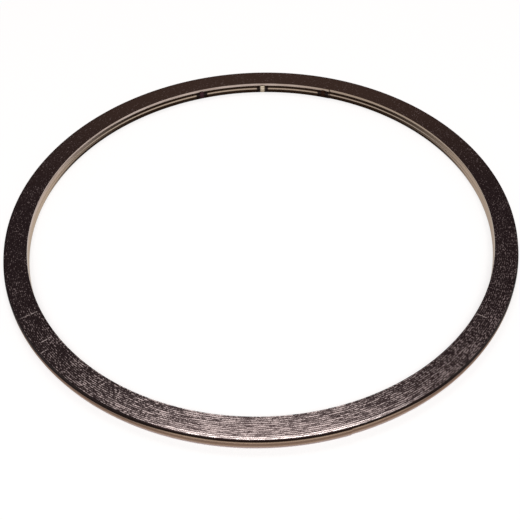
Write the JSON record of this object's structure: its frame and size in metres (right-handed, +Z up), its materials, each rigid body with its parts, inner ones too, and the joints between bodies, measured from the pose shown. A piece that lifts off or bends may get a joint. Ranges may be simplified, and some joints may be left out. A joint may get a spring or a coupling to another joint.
{
  "type": "spiral-wound cylinder head gasket",
  "caption": "Spiral-wound cylinder head gasket: a thin chevron-section steel strip wound together with a soft filler strip into a flat ring that seals round an engine cylinder.",
  "frame": {"origin": "centre of the bore, on the ring's lower face", "axes": "+Z up along the ring's axis; the strip winds outwards anticlockwise seen from +Z"},
  "size_m": [0.2653, 0.2654, 0.0064],
  "materials": {
    "strip_steel": "rolled steel strip, dull and stained",
    "filler": "soft graphite foil, matt and dark"
  },
  "bodies": {
    "root": {"winding_strip": "strip_steel", "filler_strip": "filler"}
  },
  "joints": []
}
